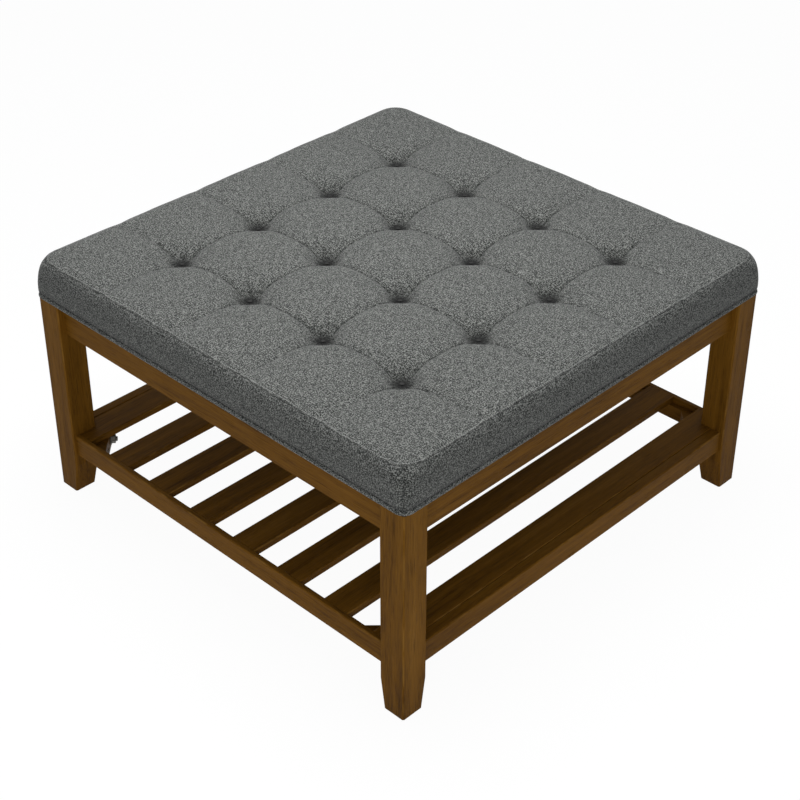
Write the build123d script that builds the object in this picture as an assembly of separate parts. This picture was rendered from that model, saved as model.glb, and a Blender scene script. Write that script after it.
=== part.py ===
from build123d import *
import os
from math import copysign, sqrt

# Square upholstered ottoman coffee table with a slatted shelf, in millimetres, +Z up.
# The origin is the centre of the footprint on the floor, the front is the -Y side,
# and the shelf slats run from front to back.

# Frame
frame_width = 790.0
frame_height = 360.0

# Legs: straight outside, drawn in on the two inner faces at the foot
leg_width = 46.0
foot_width = 38.0
foot_taper_height = 54.0
leg_arris = 2.0

# Aprons under the seat
apron_height = 57.0
apron_thickness = 18.0
apron_setback = 12.0
rail_arris = 1.5

# Stretchers round the shelf; the front and back ones have a rabbet for the slat ends
stretcher_height = 38.0
stretcher_thickness = 18.0
stretcher_setback = 6.0
stretcher_floor_gap = 74.0
rabbet_width = 10.0

# Shelf slats
slat_count = 8
slat_width = 49.0
slat_thickness = 12.0
slat_arris = 1.2
slat_fit = 0.5

# Corner blocks, glued and screwed into the corners of both rings of rails
block_reach = 75.0
upper_block_height = 40.0

# Hanger bolts with a washer and a hexagon nut, on the diagonal of each corner
bolt_diameter = 8.0
bolt_depth_in_leg = 28.0
bolt_end = 3.0
bolt_fit = 0.1
bolt_hole_play = 0.5
washer_diameter = 20.0
washer_thickness = 1.6
nut_across_flats = 13.0
nut_height = 6.5

# Dowels between rails and legs
apron_dowel_diameter = 8.0
apron_dowel_spacing = 30.0
stretcher_dowel_diameter = 6.0
stretcher_dowel_spacing = 13.0
dowel_length = 30.0
dowel_fit = 0.1

# Wood screws
screw_diameter = 4.0
screw_head_diameter = 8.0
screw_head_height = 2.6
screw_fit = 0.15
block_screw_length = 20.0
block_screw_grip = 10.0
block_screw_inset = 15.0
slat_screw_length = 21.0
slat_screw_grip = 12.0
seat_screw_depth_in_board = 9.0
seat_screw_inset = 12.0
seat_screw_offset = 22.0

# Seat: plywood board, foam, boxing band, tufted top and piping
seat_overhang = 5.0
board_thickness = 12.0
board_corner_radius = 26.0
foam_thickness = 40.0
band_thickness = 8.0
band_level_shares = (0.0, 0.35, 0.75, 1.0)
band_level_insets = (1.0, 0.0, 0.5, 2.5)
side_draw = 2.0
bottom_corner_radius = 14.0
top_corner_radius = 34.0
welt_diameter = 8.0
soft_gap = 0.3

# Tufted top: arched puffs between crossing creases, with a pit at each crossing
puff_count = 5
tuft_pitch = 157.0
edge_height = 16.0
crown_rise = 12.0
crown_power = 4
crease_dip = 4.6
panel_edge_draw = 12.0
pit_floor = 2.5
pit_brim = 7.0
pit_ring_reaches = (5.5, 18.0, 38.0)
pit_ring_height_shares = (0.0, 0.6, 1.0)

# Tufting cords and their washers
cord_diameter = 2.0
cord_head_diameter = 7.0
cord_head_height = 1.5
cord_knot_diameter = 5.0
cord_knot_height = 2.0
cord_fit = 0.3
cord_washer_diameter = 20.0
cord_washer_thickness = 1.5
board_hole_diameter = 6.0

# Dust cover stapled under the board
dust_cover_thickness = 1.0
dust_cover_hem_width = 14.0
dust_cover_margin = 1.5
staples_per_side = 5
staple_width = 10.0
staple_wire = 0.9
staple_depth_in_board = 5.0

# Small round pieces and their bores are prisms of few sides, which keeps the meshes light
bolt_sides = 8
washer_sides = 12
dowel_sides = 6
screw_sides = 6
cord_sides = 6
cord_washer_sides = 6
welt_sides = 8

# How far a cutting tool runs past the face it opens
overrun = 5.0

# Places that follow from the sizes above
half_width = frame_width / 2
leg_inner = half_width - leg_width
apron_outer = half_width - apron_setback
apron_inner = apron_outer - apron_thickness
apron_middle = (apron_outer + apron_inner) / 2
apron_bottom = frame_height - apron_height
stretcher_outer = half_width - stretcher_setback
stretcher_inner = stretcher_outer - stretcher_thickness
stretcher_middle = (stretcher_outer + stretcher_inner) / 2
shelf_top = stretcher_floor_gap + stretcher_height
slat_seat = shelf_top - slat_thickness
slat_stop = stretcher_inner + rabbet_width
upper_block_bottom = frame_height - upper_block_height
lower_block_height = slat_seat - stretcher_floor_gap
upper_bolt_height = frame_height - upper_block_height / 2
lower_bolt_height = stretcher_floor_gap + lower_block_height / 2
apron_dowel_heights = [
    frame_height - apron_height / 2 - apron_dowel_spacing / 2,
    frame_height - apron_height / 2 + apron_dowel_spacing / 2,
]
stretcher_dowel_heights = [
    lower_bolt_height - stretcher_dowel_spacing / 2,
    lower_bolt_height + stretcher_dowel_spacing / 2,
]
seat_half = half_width + seat_overhang
board_half = seat_half - band_thickness - soft_gap
board_top = frame_height + board_thickness
foam_top = board_top + foam_thickness
band_bottom = frame_height + welt_diameter + soft_gap * 2
pit_bottom = foam_top + pit_floor
dust_cover_drop = cord_washer_thickness + cord_knot_height + soft_gap
dust_cover_bottom = frame_height - dust_cover_drop - dust_cover_thickness


def bar(x_span, y_span, z_span):
    """A square-edged bar between two places along each axis."""
    spans = (x_span, y_span, z_span)
    size = [high - low for low, high in spans]
    middle = [(high + low) / 2 for low, high in spans]
    return Pos(*middle) * Box(*size)


def rod(start, direction, length, diameter, sides):
    """A rod from a point along a direction, with one corner of its section up or along X."""
    corner = (1, 0, 0) if direction[2] else (0, 0, 1)
    plane = Plane(origin=start, x_dir=corner, z_dir=direction)
    return extrude(plane * RegularPolygon(diameter / 2, sides), length)


def eased(width, height, arris):
    """A rectangle with its corners planed off."""
    outline = Rectangle(width, height)
    return chamfer(outline.vertices(), arris)


def four_corners(shape):
    """The shape made for the back right corner, and its copies in the other three."""
    left = mirror(shape, about=Plane.YZ)
    return {
        "back_right": shape,
        "back_left": left,
        "front_right": mirror(shape, about=Plane.XZ),
        "front_left": mirror(left, about=Plane.XZ),
    }


def on_all_corners(shapes):
    """Copies of several shapes in all four corners, as one list."""
    return [copy for shape in shapes for copy in four_corners(shape).values()]


def cut(body, tools):
    """The body less a list of tools."""
    for tool in tools:
        body = body - tool
    return body


# Dowels

def dowels_at_corner(middle, heights, diameter, length):
    """Dowels from both rails into the back right leg, each half in the leg."""
    start = leg_inner - length / 2
    placed = []
    for height in heights:
        placed.append(rod((start, middle, height), (1, 0, 0), length, diameter, dowel_sides))
        placed.append(rod((middle, start, height), (0, 1, 0), length, diameter, dowel_sides))
    return placed


def apron_dowels(grow=0):
    return dowels_at_corner(
        apron_middle, apron_dowel_heights, apron_dowel_diameter + grow * 2, dowel_length + grow * 2
    )


def stretcher_dowels(grow=0):
    return dowels_at_corner(
        stretcher_middle,
        stretcher_dowel_heights,
        stretcher_dowel_diameter + grow * 2,
        dowel_length + grow * 2,
    )


# Hanger bolts

def block_face_gap(rail_inner):
    """From the leg's inner arris to the long face of a corner block, on the diagonal."""
    return (leg_inner * 2 - (rail_inner * 2 - block_reach)) / sqrt(2)


def on_diagonal(distance, height):
    """A point on the corner's diagonal, measured inwards from the leg's inner arris."""
    place = leg_inner - distance / sqrt(2)
    return (place, place, height)


def bolt(rail_inner, height):
    stack = washer_thickness + nut_height + bolt_end
    start = on_diagonal(block_face_gap(rail_inner) + stack, height)
    length = stack + block_face_gap(rail_inner) + bolt_depth_in_leg
    return rod(start, (1, 1, 0), length, bolt_diameter, bolt_sides)


def bolt_hole(height, play):
    """The bore for a bolt, from inside the corner block to its end in the leg."""
    reach = block_reach + bolt_depth_in_leg + bolt_fit
    start = on_diagonal(block_reach, height)
    return rod(start, (1, 1, 0), reach, bolt_diameter + play * 2, bolt_sides)


def washer(rail_inner, height):
    start = on_diagonal(block_face_gap(rail_inner) + washer_thickness, height)
    disc = rod(start, (1, 1, 0), washer_thickness, washer_diameter, washer_sides)
    return disc - bolt_hole(height, bolt_fit)


def nut(rail_inner, height):
    start = on_diagonal(block_face_gap(rail_inner) + washer_thickness + nut_height, height)
    plane = Plane(origin=start, z_dir=(1, 1, 0))
    flats = RegularPolygon(nut_across_flats / 2, 6, major_radius=False)
    return extrude(plane * flats, nut_height) - bolt_hole(height, bolt_fit)


# Wood screws

def screw(seat, direction, length, grow=0, pocket=0):
    """A screw whose head bears on the seat; grow and pocket turn it into its own hole."""
    axis = Vector(*direction).normalized()
    head_start = Vector(*seat) - axis * (screw_head_height + pocket)
    head_length = screw_head_height + pocket
    head = rod(head_start, direction, head_length, screw_head_diameter + grow * 2, screw_sides)
    shank = rod(seat, direction, length + grow, screw_diameter + grow * 2, screw_sides)
    return head + shank


def block_screws(rail_inner, height, grow=0, pocket=0):
    """One screw from the corner block into each of its two rails."""
    along = rail_inner - block_reach + block_screw_inset
    seat = rail_inner - block_screw_grip
    return [
        screw((along, seat, height), (0, 1, 0), block_screw_length, grow, pocket),
        screw((seat, along, height), (1, 0, 0), block_screw_length, grow, pocket),
    ]


def seat_screws(grow=0):
    """Two screws up through an upper corner block into the board."""
    middle = block_face_gap(apron_inner) - seat_screw_inset
    length = upper_block_height + seat_screw_depth_in_board
    place = leg_inner - middle / sqrt(2)
    step = seat_screw_offset / sqrt(2)
    return [
        screw((place + side * step, place - side * step, upper_block_bottom), (0, 0, 1), length, grow)
        for side in (-1, 1)
    ]


def slat_screws(x, grow=0, pocket=0):
    """Screws up from under the back and front stretchers into one slat."""
    y = stretcher_inner + rabbet_width / 2
    seat = slat_seat - slat_screw_grip
    return [
        screw((x, side * y, seat), (0, 0, 1), slat_screw_length, grow, pocket)
        for side in (-1, 1)
    ]


# Frame pieces

def leg():
    """The back right leg, with its bolt and dowel bores."""
    middle = (half_width + leg_inner) / 2
    foot_middle = half_width - foot_width / 2
    section = Pos(middle, middle, foot_taper_height) * eased(leg_width, leg_width, leg_arris)
    foot = Pos(foot_middle, foot_middle, 0) * eased(foot_width, foot_width, leg_arris)
    body = extrude(section, frame_height - foot_taper_height) + loft([foot, section], ruled=True)
    bores = [bolt_hole(upper_bolt_height, bolt_fit), bolt_hole(lower_bolt_height, bolt_fit)]
    return cut(body, bores + apron_dowels(dowel_fit) + stretcher_dowels(dowel_fit))


def rail(thickness, height, bottom, middle):
    """A rail along X between the back legs, its long arrises eased."""
    plane = Plane(
        origin=(-leg_inner, middle, bottom + height / 2), x_dir=(0, 1, 0), z_dir=(1, 0, 0)
    )
    return extrude(plane * eased(thickness, height, rail_arris), leg_inner * 2)


def apron():
    """The back apron."""
    body = rail(apron_thickness, apron_height, apron_bottom, apron_middle)
    bores = apron_dowels(dowel_fit) + block_screws(apron_inner, upper_bolt_height, screw_fit)
    return cut(body, on_all_corners(bores))


def plain_stretcher():
    """A stretcher at the back with no rabbet, which is turned to the sides."""
    body = rail(stretcher_thickness, stretcher_height, stretcher_floor_gap, stretcher_middle)
    bores = stretcher_dowels(dowel_fit) + block_screws(stretcher_inner, lower_bolt_height, screw_fit)
    return cut(body, on_all_corners(bores))


def rabbeted_stretcher():
    """The back stretcher, with its rabbet and the bores for the slat screws."""
    rabbet = bar(
        (-half_width, half_width),
        (stretcher_inner - overrun, slat_stop),
        (slat_seat, shelf_top + overrun),
    )
    bores = [
        bore
        for index in range(slat_count)
        for bore in slat_screws(slat_screw_place(index), screw_fit, stretcher_height)
    ]
    return cut(plain_stretcher() - rabbet, bores)


def slat_middle(index):
    """Where a slat's middle is across the shelf."""
    row = stretcher_inner * 2 - slat_fit * 2 - slat_width
    return row * (index / (slat_count - 1) - 1 / 2)


def slat_screw_place(index):
    """The middle of a slat, or on an end slat the stretch beside the dowels."""
    middle = slat_middle(index)
    if index in (0, slat_count - 1):
        inner_edge = abs(middle) - slat_width / 2
        place = (inner_edge + leg_inner - dowel_length / 2) / 2
        return place if middle > 0 else -place
    return middle


def slat(index):
    """One shelf slat; the end ones are notched round the legs."""
    length = slat_stop * 2 - slat_fit * 2
    plane = Plane(
        origin=(slat_middle(index), length / 2, slat_seat + slat_thickness / 2),
        x_dir=(1, 0, 0),
        z_dir=(0, -1, 0),
    )
    body = extrude(plane * eased(slat_width, slat_thickness, slat_arris), length)
    edge = leg_inner - slat_fit
    notch = bar(
        (edge, half_width), (edge, half_width), (slat_seat - overrun, shelf_top + overrun)
    )
    bores = slat_screws(slat_screw_place(index), screw_fit)
    return cut(body, on_all_corners([notch]) + bores)


def corner_block(rail_inner, bottom, height):
    """A triangular block between two rails, notched round the leg, with its bores."""
    tip = rail_inner - block_reach
    outline = Polyline(
        (tip, rail_inner),
        (rail_inner, tip),
        (rail_inner, leg_inner),
        (leg_inner, leg_inner),
        (leg_inner, rail_inner),
        close=True,
    )
    body = extrude(Pos(0, 0, bottom) * make_face(outline), height)
    middle = bottom + height / 2
    bores = block_screws(rail_inner, middle, screw_fit, block_reach)
    return cut(body, bores + [bolt_hole(middle, bolt_hole_play)])


def upper_block():
    return cut(corner_block(apron_inner, upper_block_bottom, upper_block_height), seat_screws(screw_fit))


def lower_block():
    return corner_block(stretcher_inner, stretcher_floor_gap, lower_block_height)


# Seat pieces

def soft_outline(half, draw, corner_radius, height):
    """A square with rounded corners whose sides draw in a little towards their middles."""
    low, mid = -half, half - draw
    sides = [
        ThreePointArc((low, low), (0, -mid), (half, low)),
        ThreePointArc((half, low), (mid, 0), (half, half)),
        ThreePointArc((half, half), (0, mid), (low, half)),
        ThreePointArc((low, half), (-mid, 0), (low, low)),
    ]
    face = make_face(sides)
    return Pos(0, 0, height) * fillet(face.vertices(), corner_radius)


def plain_square(half, corner_radius, bottom, height):
    """A flat slab with rounded corners."""
    side = half * 2
    return extrude(Pos(0, 0, bottom) * RectangleRounded(side, side, corner_radius), height)


def grid_place(step):
    """A line of the half-puff grid: even steps are edges and creases, odd ones the middles of puffs."""
    if step % 2:
        return (grid_place(step - 1) + grid_place(step + 1)) / 2
    if step in (0, puff_count * 2):
        return copysign(seat_half, step - puff_count)
    return (step - puff_count) / 2 * tuft_pitch


def tuft_places():
    """Where two creases cross, on plan."""
    creases = [grid_place(step * 2) for step in range(1, puff_count)]
    return [(x, y) for x in creases for y in creases]


def at_tufts(shape):
    """Copies of a shape at every tuft, as one list."""
    return [Pos(x, y, 0) * shape for x, y in tuft_places()]


def seat_board():
    body = plain_square(board_half, board_corner_radius, frame_height, board_thickness)
    start = (0, 0, frame_height - overrun)
    bore = rod(start, (0, 0, 1), board_thickness + overrun * 2, board_hole_diameter, cord_sides)
    return cut(body, at_tufts(bore) + on_all_corners(seat_screws(screw_fit)))


def cord_bore(bottom, top):
    """The way of a tufting cord through a soft piece."""
    start = (0, 0, bottom - overrun)
    length = top - bottom + overrun * 2
    return rod(start, (0, 0, 1), length, cord_diameter + cord_fit * 2, cord_sides)


def foam():
    body = plain_square(board_half, board_corner_radius, board_top, foam_thickness)
    return cut(body, at_tufts(cord_bore(board_top, foam_top)))


def boxing_band():
    """The band round the foam, fullest below half height and drawn in at the top."""
    sections = []
    for share, inset in zip(band_level_shares, band_level_insets):
        height = band_bottom + (foam_top - band_bottom) * share
        radius = bottom_corner_radius + (top_corner_radius - bottom_corner_radius) * share
        sections.append(soft_outline(seat_half - inset, side_draw * (1 + share) / 2, radius, height))
    inside = plain_square(
        board_half + soft_gap, board_corner_radius, frame_height, foam_top - frame_height + overrun
    )
    return loft(sections, ruled=True) - inside


def welt():
    """The piping under the band, one closed tube."""
    centre = seat_half - welt_diameter / 2
    side = centre * 2
    height = frame_height + soft_gap + welt_diameter / 2
    path = (Pos(0, 0, height) * RectangleRounded(side, side, bottom_corner_radius)).face().outer_wire()
    start = Plane(origin=path @ 0, z_dir=path % 0)
    return sweep(start * RegularPolygon(welt_diameter / 2, welt_sides), path)


def arch_height(step):
    """Height of the panel's arched profile at a line of the half-puff grid."""
    across = step / puff_count - 1
    on_crease = step % 2 == 0 and 0 < step < puff_count * 2
    return foam_top + edge_height + crown_rise * (1 - across ** crown_power) - crease_dip * on_crease


def arched_slab():
    """The panel's profile, one arc from crease to crease for each puff, drawn out to the seat's depth."""
    last = puff_count * 2
    points = [(grid_place(step), arch_height(step)) for step in range(last + 1)]
    arcs = [ThreePointArc(*points[step : step + 3]) for step in range(0, last, 2)]
    base = Polyline(points[last], (seat_half, foam_top), (-seat_half, foam_top), points[0])
    return extrude(Plane.XZ * make_face(arcs + [base]), seat_half, both=True)


def tuft_pit(column, row):
    """What a tuft takes out of the top: four-sided, a corner on each crease, steepest at its floor."""
    rise = min(arch_height(column * 2), arch_height(row * 2)) + pit_brim - pit_bottom
    rings = [
        Pos(0, 0, pit_bottom + rise * share) * RegularPolygon(reach, 4)
        for reach, share in zip(pit_ring_reaches, pit_ring_height_shares)
    ]
    brim = Pos(0, 0, crown_rise) * rings[-1]
    return Pos(grid_place(column * 2), grid_place(row * 2), 0) * loft(rings + [brim], ruled=True)


def tufted_top():
    """The padded top panel: two arched slabs that cross, its outline drawn in above the band."""
    slab = arched_slab()
    top = foam_top + edge_height + crown_rise + overrun
    half = seat_half - band_level_insets[-1]
    hem = soft_outline(half, side_draw, top_corner_radius, foam_top)
    crest = soft_outline(half - panel_edge_draw, side_draw, top_corner_radius, top)
    body = slab & (Rot(0, 0, 90) * slab) & loft([hem, crest], ruled=True)
    crossings = range(1, puff_count)
    pits = [tuft_pit(column, row) for column in crossings for row in crossings]
    return cut(body, pits + at_tufts(cord_bore(foam_top, pit_bottom)))


def tuft_cord():
    """A cord with its sewn head in the pit and its knot under the washer."""
    knot_top = frame_height - cord_washer_thickness
    knot_bottom = knot_top - cord_knot_height
    lengths = [
        (pit_bottom, cord_head_height, cord_head_diameter),
        (knot_top, pit_bottom - knot_top, cord_diameter),
        (knot_bottom, cord_knot_height, cord_knot_diameter),
    ]
    head, line, knot = [
        rod((0, 0, bottom), (0, 0, 1), length, diameter, cord_sides)
        for bottom, length, diameter in lengths
    ]
    return head + line + knot


def tuft_washer():
    start = (0, 0, frame_height - cord_washer_thickness)
    disc = rod(start, (0, 0, 1), cord_washer_thickness, cord_washer_diameter, cord_washer_sides)
    return disc - cord_bore(frame_height - cord_washer_thickness, frame_height)


def dust_cover_outline(inset):
    """The octagon between the aprons and the upper corner blocks."""
    side = apron_inner - dust_cover_margin - inset
    reach = apron_inner * 2 - block_reach - (dust_cover_margin + inset) * sqrt(2) - side
    right = [(side, -reach), (side, reach), (reach, side), (-reach, side)]
    left = [(-x, -y) for x, y in right]
    return make_face(Polyline(*right, *left, close=True))


def dust_cover():
    """The cloth under the seat, held clear of the knots by its folded hem."""
    sheet = extrude(
        Pos(0, 0, dust_cover_bottom) * dust_cover_outline(0), dust_cover_drop + dust_cover_thickness
    )
    inside = extrude(
        Pos(0, 0, dust_cover_bottom + dust_cover_thickness) * dust_cover_outline(dust_cover_hem_width),
        dust_cover_drop + overrun,
    )
    return sheet - inside


def staple():
    """One staple at the middle of the back hem, its legs up into the board."""
    half = staple_width / 2
    bottom = dust_cover_bottom - staple_wire
    top = frame_height + staple_depth_in_board
    y = apron_inner - dust_cover_margin - dust_cover_hem_width / 2
    body = bar((-half, half), (y, y + staple_wire), (bottom, top))
    inside = bar(
        (staple_wire - half, half - staple_wire),
        (y - overrun, y + overrun),
        (dust_cover_bottom, top + overrun),
    )
    return body - inside


def staples():
    """The staples of all four hems."""
    reach = apron_inner - block_reach
    placed = []
    for turn in range(4):
        for index in range(staples_per_side):
            along = reach * (2 * index / (staples_per_side - 1) - 1)
            placed.append(Rot(0, 0, 90 * turn) * Pos(along, 0, 0) * staple())
    return placed


# Writing the nodes

def save(name, shape):
    """Writes one node; a list of shapes becomes one group of separate solids."""
    if isinstance(shape, list):
        shape = Compound(children=[solid for piece in shape for solid in piece.solids()])
    export_step(shape, f"parts/{name}.step")


def save_ring(kind, back, sides):
    """Writes the back rail, its copy at the front, and the side rail turned to both sides."""
    save(f"{kind}_back", back)
    save(f"{kind}_front", mirror(back, about=Plane.XZ))
    turned = Rot(0, 0, 90) * sides
    save(f"{kind}_left", turned)
    save(f"{kind}_right", mirror(turned, about=Plane.YZ))


def save_frame():
    for place, shape in four_corners(leg()).items():
        save(f"leg_{place}", shape)
    back_apron = apron()
    save_ring("apron", back_apron, back_apron)
    save_ring("stretcher", rabbeted_stretcher(), plain_stretcher())
    for index in range(slat_count):
        save(f"shelf_slat_{index + 1}", slat(index))
    for place, shape in four_corners(upper_block()).items():
        save(f"upper_block_{place}", shape)
    for place, shape in four_corners(lower_block()).items():
        save(f"lower_block_{place}", shape)


def save_fasteners():
    corners = [(apron_inner, upper_bolt_height), (stretcher_inner, lower_bolt_height)]
    save("hanger_bolts", on_all_corners([bolt(*corner) for corner in corners]))
    save("bolt_washers", on_all_corners([washer(*corner) for corner in corners]))
    save("bolt_nuts", on_all_corners([nut(*corner) for corner in corners]))
    save("apron_dowels", on_all_corners(apron_dowels()))
    save("stretcher_dowels", on_all_corners(stretcher_dowels()))
    save("block_screws", on_all_corners([s for corner in corners for s in block_screws(*corner)]))
    save("seat_screws", on_all_corners(seat_screws()))
    slat_rows = [slat_screws(slat_screw_place(index)) for index in range(slat_count)]
    save("slat_screws", [piece for row in slat_rows for piece in row])


def save_seat():
    save("seat_board", seat_board())
    save("seat_foam", foam())
    save("boxing_band", boxing_band())
    save("tufted_top", tufted_top())
    save("seat_welt", welt())
    save("tuft_cords", at_tufts(tuft_cord()))
    save("tuft_washers", at_tufts(tuft_washer()))
    save("dust_cover", dust_cover())
    save("dust_cover_staples", staples())


os.makedirs("parts", exist_ok=True)
save_frame()
save_fasteners()
save_seat()
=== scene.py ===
from math import cos, pi, radians, sin, sqrt

import bpy
import numpy as np
from mathutils import Matrix, Vector


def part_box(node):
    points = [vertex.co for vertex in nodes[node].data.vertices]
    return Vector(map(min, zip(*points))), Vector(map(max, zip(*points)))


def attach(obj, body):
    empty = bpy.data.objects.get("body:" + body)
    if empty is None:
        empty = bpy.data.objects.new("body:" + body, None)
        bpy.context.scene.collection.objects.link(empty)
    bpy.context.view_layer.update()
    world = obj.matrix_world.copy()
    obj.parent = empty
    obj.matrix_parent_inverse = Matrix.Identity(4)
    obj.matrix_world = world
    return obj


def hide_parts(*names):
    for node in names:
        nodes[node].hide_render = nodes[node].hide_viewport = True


# The dressing of a tufted ottoman coffee table, in metres, in the frame of its solids.

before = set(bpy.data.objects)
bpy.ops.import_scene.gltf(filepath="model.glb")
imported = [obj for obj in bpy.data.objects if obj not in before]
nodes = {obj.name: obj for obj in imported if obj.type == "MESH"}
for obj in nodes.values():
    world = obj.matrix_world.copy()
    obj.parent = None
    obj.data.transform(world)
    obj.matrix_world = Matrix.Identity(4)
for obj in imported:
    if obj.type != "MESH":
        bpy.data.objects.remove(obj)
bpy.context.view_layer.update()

# Seat, read from the frame
welt_low, welt_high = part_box("seat_welt")
panel_low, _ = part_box("tufted_top")
band_low, band_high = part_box("boxing_band")
board_low, board_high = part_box("seat_board")
foam_low, foam_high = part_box("seat_foam")
cover_low, cover_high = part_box("dust_cover")
cords_low, cords_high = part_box("tuft_cords")
seat_half = (band_high.x - band_low.x) / 2

# Tufting: rows of puffs each way, with a pit where the creases between them cross
puff_count = 5
cord_head_width, cord_head_height = 0.007, 0.0015
tuft_pitch = (cords_high.x - cords_low.x - cord_head_width) / (puff_count - 2)
creases = np.array([(step - puff_count / 2) * tuft_pitch for step in range(1, puff_count)])


# Shaders

class Value:
    """A shader socket that is written in expressions; each operator adds its Math node."""

    def __init__(self, shader, socket):
        self.shader, self.socket = shader, socket

    def output(self, name):
        """Another output of the same node."""
        return Value(self.shader, self.socket.node.outputs[name])

    def math(self, operation, *others):
        return self.shader.math(operation, self, *others)

    def __add__(self, other):
        return self.math("ADD", other)

    def __radd__(self, other):
        return self.math("ADD", other)

    def __sub__(self, other):
        return self.math("SUBTRACT", other)

    def __rsub__(self, other):
        return self.shader.math("SUBTRACT", other, self)

    def __mul__(self, other):
        return self.math("MULTIPLY", other)

    def __rmul__(self, other):
        return self.math("MULTIPLY", other)

    def __abs__(self):
        return self.math("ABSOLUTE")

    def sin(self):
        return self.math("SINE")

    def least(self, other):
        return self.math("MINIMUM", other)

    def most(self, other):
        return self.math("MAXIMUM", other)

    def ramp(self, start, end):
        """0 at start, 1 at end, smooth between."""
        inputs = {"Value": self, "From Min": start, "From Max": end}
        return self.shader.node("ShaderNodeMapRange", {"interpolation_type": "SMOOTHSTEP"}, inputs)


class Shader:
    """One material, or the world, with a single way to add a node."""

    def __init__(self, name, holder=None):
        self.holder = holder or bpy.data.materials.new(name)
        self.holder.use_nodes = True
        self.tree = self.holder.node_tree
        self.tree.nodes.clear()

    def node(self, kind, settings=None, inputs=None, output=0):
        made = self.tree.nodes.new(kind)
        for name, setting in (settings or {}).items():
            setattr(made, name, setting)
        for name, given in (inputs or {}).items():
            if isinstance(given, Value):
                self.tree.links.new(given.socket, made.inputs[name])
            else:
                made.inputs[name].default_value = given
        return Value(self, made.outputs[output]) if made.outputs else None

    def math(self, operation, *values):
        return self.node("ShaderNodeMath", {"operation": operation}, dict(enumerate(values)))

    def place(self):
        """The point on the piece, in the frame's own coordinates."""
        return self.node("ShaderNodeTexCoord", output="Object")

    def cloth_place(self):
        """The point on the cloth, in metres along its two threads."""
        return self.node("ShaderNodeUVMap", {"uv_map": "cloth"})

    def parts_of(self, vector):
        split = self.node("ShaderNodeSeparateXYZ", None, {0: vector})
        return [split.output(axis) for axis in "XYZ"]

    def joined(self, x, y, z):
        return self.node("ShaderNodeCombineXYZ", None, {0: x, 1: y, 2: z})

    def scaled(self, vector, scale):
        return self.node("ShaderNodeMapping", None, {"Vector": vector, "Scale": scale})

    def noise(self, vector, scale, detail=3.0, roughness=0.55, distortion=0.0):
        inputs = {
            "Vector": vector, "Scale": scale, "Detail": detail,
            "Roughness": roughness, "Distortion": distortion,
        }
        return self.node("ShaderNodeTexNoise", None, inputs)

    def cells(self, vector, scale):
        """The distance from the middle of the nearest of many random cells."""
        inputs = {"Vector": vector, "Scale": scale}
        return self.node("ShaderNodeTexVoronoi", {"feature": "F1"}, inputs)

    def mix(self, factor, first, second):
        """A colour between two colours."""
        settings = {"data_type": "RGBA", "clamp_factor": True}
        return self.node("ShaderNodeMix", settings, {0: factor, 6: first, 7: second}, output=2)

    def blend(self, factor, first, second):
        """A surface between two surfaces."""
        return self.node("ShaderNodeMixShader", None, {0: factor, 1: first, 2: second})

    def attribute(self, name):
        return self.node("ShaderNodeAttribute", {"attribute_name": name}, output="Fac")

    def bump(self, height, distance):
        return self.node("ShaderNodeBump", None, {"Height": height, "Distance": distance})

    def seen_directly(self):
        """1 for the rays that show the background: straight, mirrored or through glass."""
        ray = self.node("ShaderNodeLightPath", output="Is Camera Ray")
        return ray.most(ray.output("Is Glossy Ray")).most(ray.output("Is Transmission Ray"))

    def show(self, surface, kind="ShaderNodeOutputMaterial"):
        self.node(kind, None, {"Surface": surface})
        return self.holder

    def finish(self, **inputs):
        names = {name.replace("_", " "): given for name, given in inputs.items()}
        return self.show(self.node("ShaderNodeBsdfPrincipled", None, names))


def colour(red, green, blue):
    return (red, green, blue, 1.0)


# Cloth

tweed_dark = colour(0.032, 0.034, 0.032)
tweed_middle = colour(0.116, 0.120, 0.114)
tweed_light = colour(0.325, 0.332, 0.314)
# Painted shade: the near-black that the cloth's colour is mixed towards in its seams, creases and
# pits
painted_shade_colour, painted_shade_strength = colour(0.004, 0.004, 0.004), 0.97
thread_pitch = 0.0013
yarn_scale, yarn_stretch, fleck_gain = 840.0, 0.45, 7.6
slub_scale, slub_stretch, slub_gain = 700.0, 0.12, 2.2
cloud_scale, cloud_gain = 28.0, 0.25
tweed_tone, dark_to_middle, middle_to_light = 0.42, (-0.15, 0.60), (0.45, 1.25)
weave_relief, yarn_relief_share, fleck_relief_share = 0.00030, 0.5, 1.2
thread_twist = 6000.0

# Places along the noise's third axis, so that no two of the tweed's patterns are alike
warp_layer, weft_layer, cloud_layer, warp_slub_layer, weft_slub_layer = 0.0, 3.0, 7.0, 11.0, 15.0


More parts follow.
